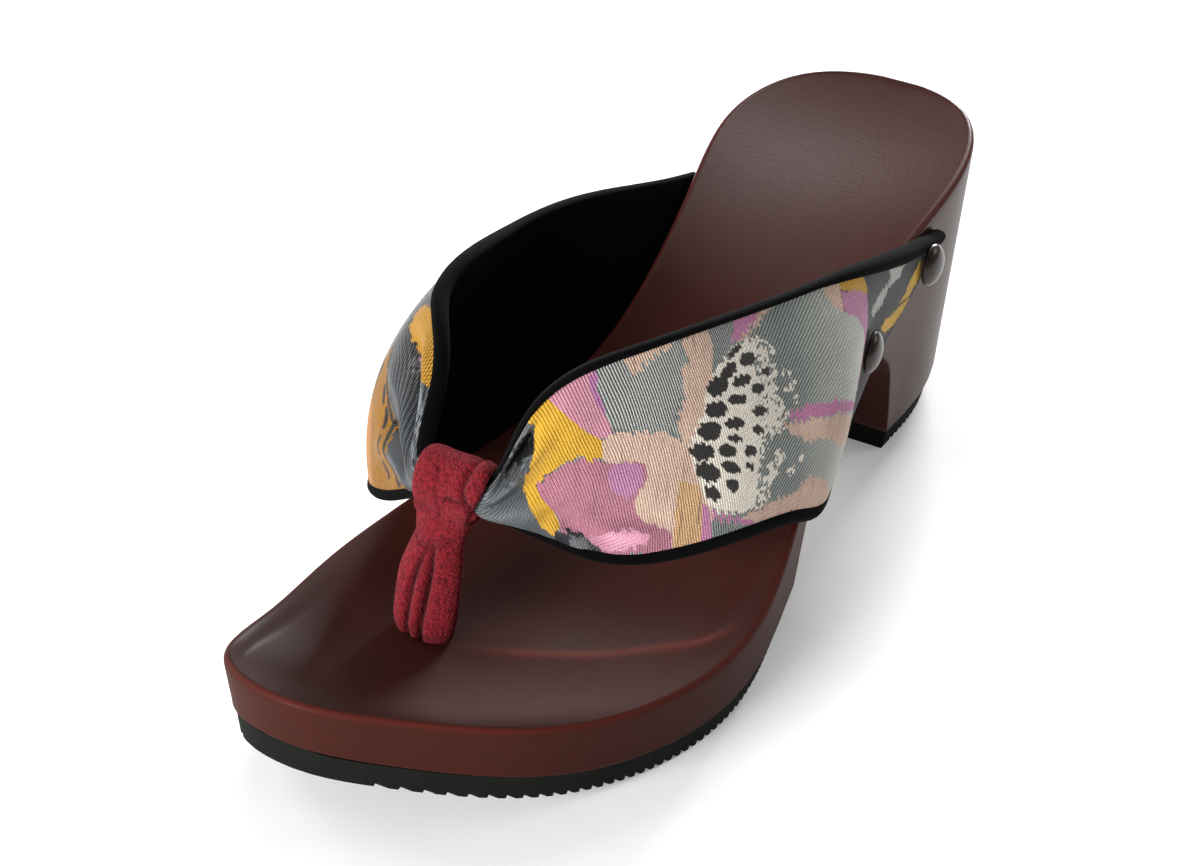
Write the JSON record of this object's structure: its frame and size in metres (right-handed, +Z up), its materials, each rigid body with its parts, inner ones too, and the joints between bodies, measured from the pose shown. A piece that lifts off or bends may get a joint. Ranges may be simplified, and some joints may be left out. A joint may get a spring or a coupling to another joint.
{
  "type": "geta sandal",
  "caption": "Left wooden geta with a dished footbed, block heel, arched underside, ribbed rubber soles, broad padded strap and toe thong.",
  "frame": {"origin": "on the ground, at the middle of the shoe's length and width", "axes": "+Z up, -Y towards the toe, +X towards the little-toe side"},
  "size_m": [0.0904, 0.236, 0.0728],
  "materials": {
    "lacquered_wood": "satin dark red-brown lacquer",
    "sole_rubber": "matt charcoal rubber",
    "strap_brocade": "flowered brocade with a black lining and binding",
    "thong_crepe": "crimson crepe",
    "cap_lacquer": "glossy dark brown lacquer"
  },
  "bodies": {
    "root": {"wood_body": "lacquered_wood", "forefoot_sole": "sole_rubber", "heel_sole": "sole_rubber", "strap_upper": "strap_brocade", "toe_thong": "thong_crepe", "nail_cap_outer_rear": "cap_lacquer", "nail_cap_outer_front": "cap_lacquer", "nail_cap_inner_rear": "cap_lacquer", "nail_cap_inner_front": "cap_lacquer"}
  },
  "joints": []
}
